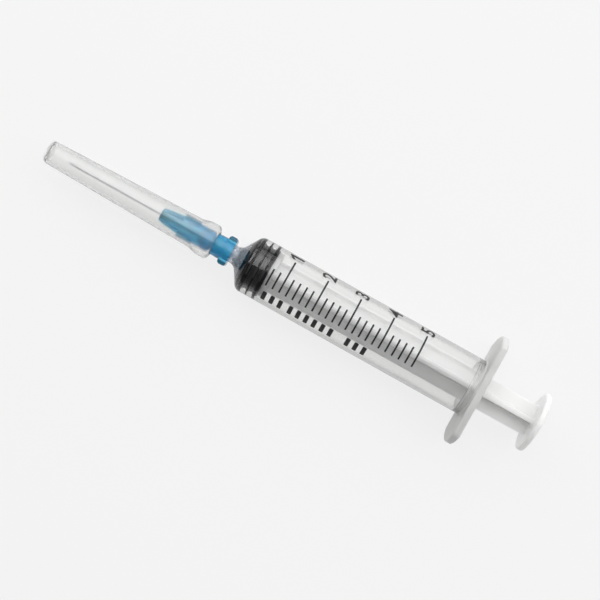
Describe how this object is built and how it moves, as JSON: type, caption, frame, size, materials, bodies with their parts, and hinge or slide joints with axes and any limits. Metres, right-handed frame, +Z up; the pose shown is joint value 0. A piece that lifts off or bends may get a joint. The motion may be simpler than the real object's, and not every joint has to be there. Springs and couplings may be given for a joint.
{
  "type": "luer slip syringe with capped needle",
  "caption": "Disposable clear barrel with finger flange and printed scale, plunger rod with rubber piston, and a capped hypodermic needle on its slip nozzle.",
  "frame": {"origin": "middle of the finger flange's lower straight edge, below the syringe's axis", "axes": "+X along the syringe's axis from the needle to the thumb rest, +Y along the finger flange, +Z up, towards the printed scale"},
  "size_m": [0.1302, 0.0278, 0.016],
  "materials": {
    "clear_barrel": "clear gloss",
    "black_ink": "printed ink",
    "black_rubber": "smooth, lightly oiled",
    "white_plastic": "satin white",
    "blue_plastic": "translucent blue",
    "needle_steel": "bright drawn steel",
    "adhesive": "cured clear adhesive",
    "clear_cap": "clear gloss"
  },
  "bodies": {
    "barrel": {"barrel": "clear_barrel", "scale_print": "black_ink"},
    "piston": {"piston": "black_rubber"},
    "plunger_rod": {"plunger_rod": "white_plastic"},
    "needle": {"needle_hub": "blue_plastic", "cannula": "needle_steel", "cannula_bond": "adhesive"},
    "cap": {"needle_cap": "clear_cap"}
  },
  "joints": [
    {"name": "plunger_slide", "type": "slide", "parent": "barrel", "child": "piston", "axis": [1, 0, 0], "range_m": [0, 0.0522]},
    {"name": "rod_turn", "type": "hinge", "parent": "piston", "child": "plunger_rod", "pos_m": [-0.0552, 0, 0.008], "axis": [1, 0, 0], "continuous": true},
    {"name": "needle_pull", "type": "slide", "parent": "barrel", "child": "needle", "axis": [-1, 0, 0], "range_m": [0, 0.012]},
    {"name": "cap_pull", "type": "slide", "parent": "needle", "child": "cap", "axis": [-1, 0, 0], "range_m": [0, 0.045]}
  ]
}
